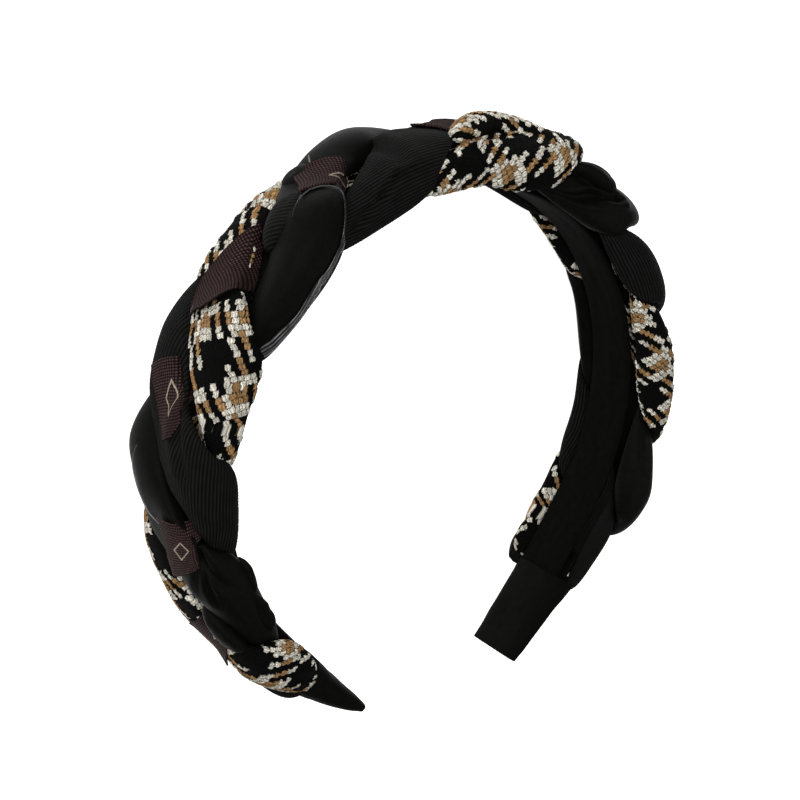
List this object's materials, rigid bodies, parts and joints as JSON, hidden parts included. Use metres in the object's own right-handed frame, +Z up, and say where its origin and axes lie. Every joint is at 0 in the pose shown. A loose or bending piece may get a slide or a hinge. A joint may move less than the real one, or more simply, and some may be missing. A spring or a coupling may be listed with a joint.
{
  "type": "twist headband",
  "caption": "Padded twist headband: tweed, satin and ribbed strands wound round a stiff open hoop, crossed by a thin ribbon and wrapped at the tips.",
  "frame": {"origin": "bottom centre of the box round the whole headband, which lies on its side", "axes": "+Z up, along the width of the band from its back edge to its front edge; +Y towards the crown, with the tips at -Y; +X towards the longer leg"},
  "size_m": [0.158, 0.1554, 0.0374],
  "materials": {
    "band_satin": "smooth black satin over a stiff strip",
    "tweed": "black, cream and tan tweed, padded",
    "satin": "smooth black cloth, padded",
    "ribbed": "fine-ribbed black cloth, padded",
    "ribbon": "dark brown grosgrain",
    "wrap": "plain black cloth"
  },
  "bodies": {
    "root": {"band": "band_satin", "strand_tweed": "tweed", "strand_satin": "satin", "strand_ribbed": "ribbed", "ribbon_turn_01": "ribbon", "ribbon_turn_02": "ribbon", "ribbon_turn_03": "ribbon", "ribbon_turn_04": "ribbon", "ribbon_turn_05": "ribbon", "ribbon_turn_06": "ribbon", "ribbon_turn_07": "ribbon", "ribbon_turn_08": "ribbon", "ribbon_turn_09": "ribbon", "ribbon_turn_10": "ribbon", "ribbon_turn_11": "ribbon", "tip_wrap_left": "wrap", "tip_wrap_right": "wrap"}
  },
  "joints": []
}
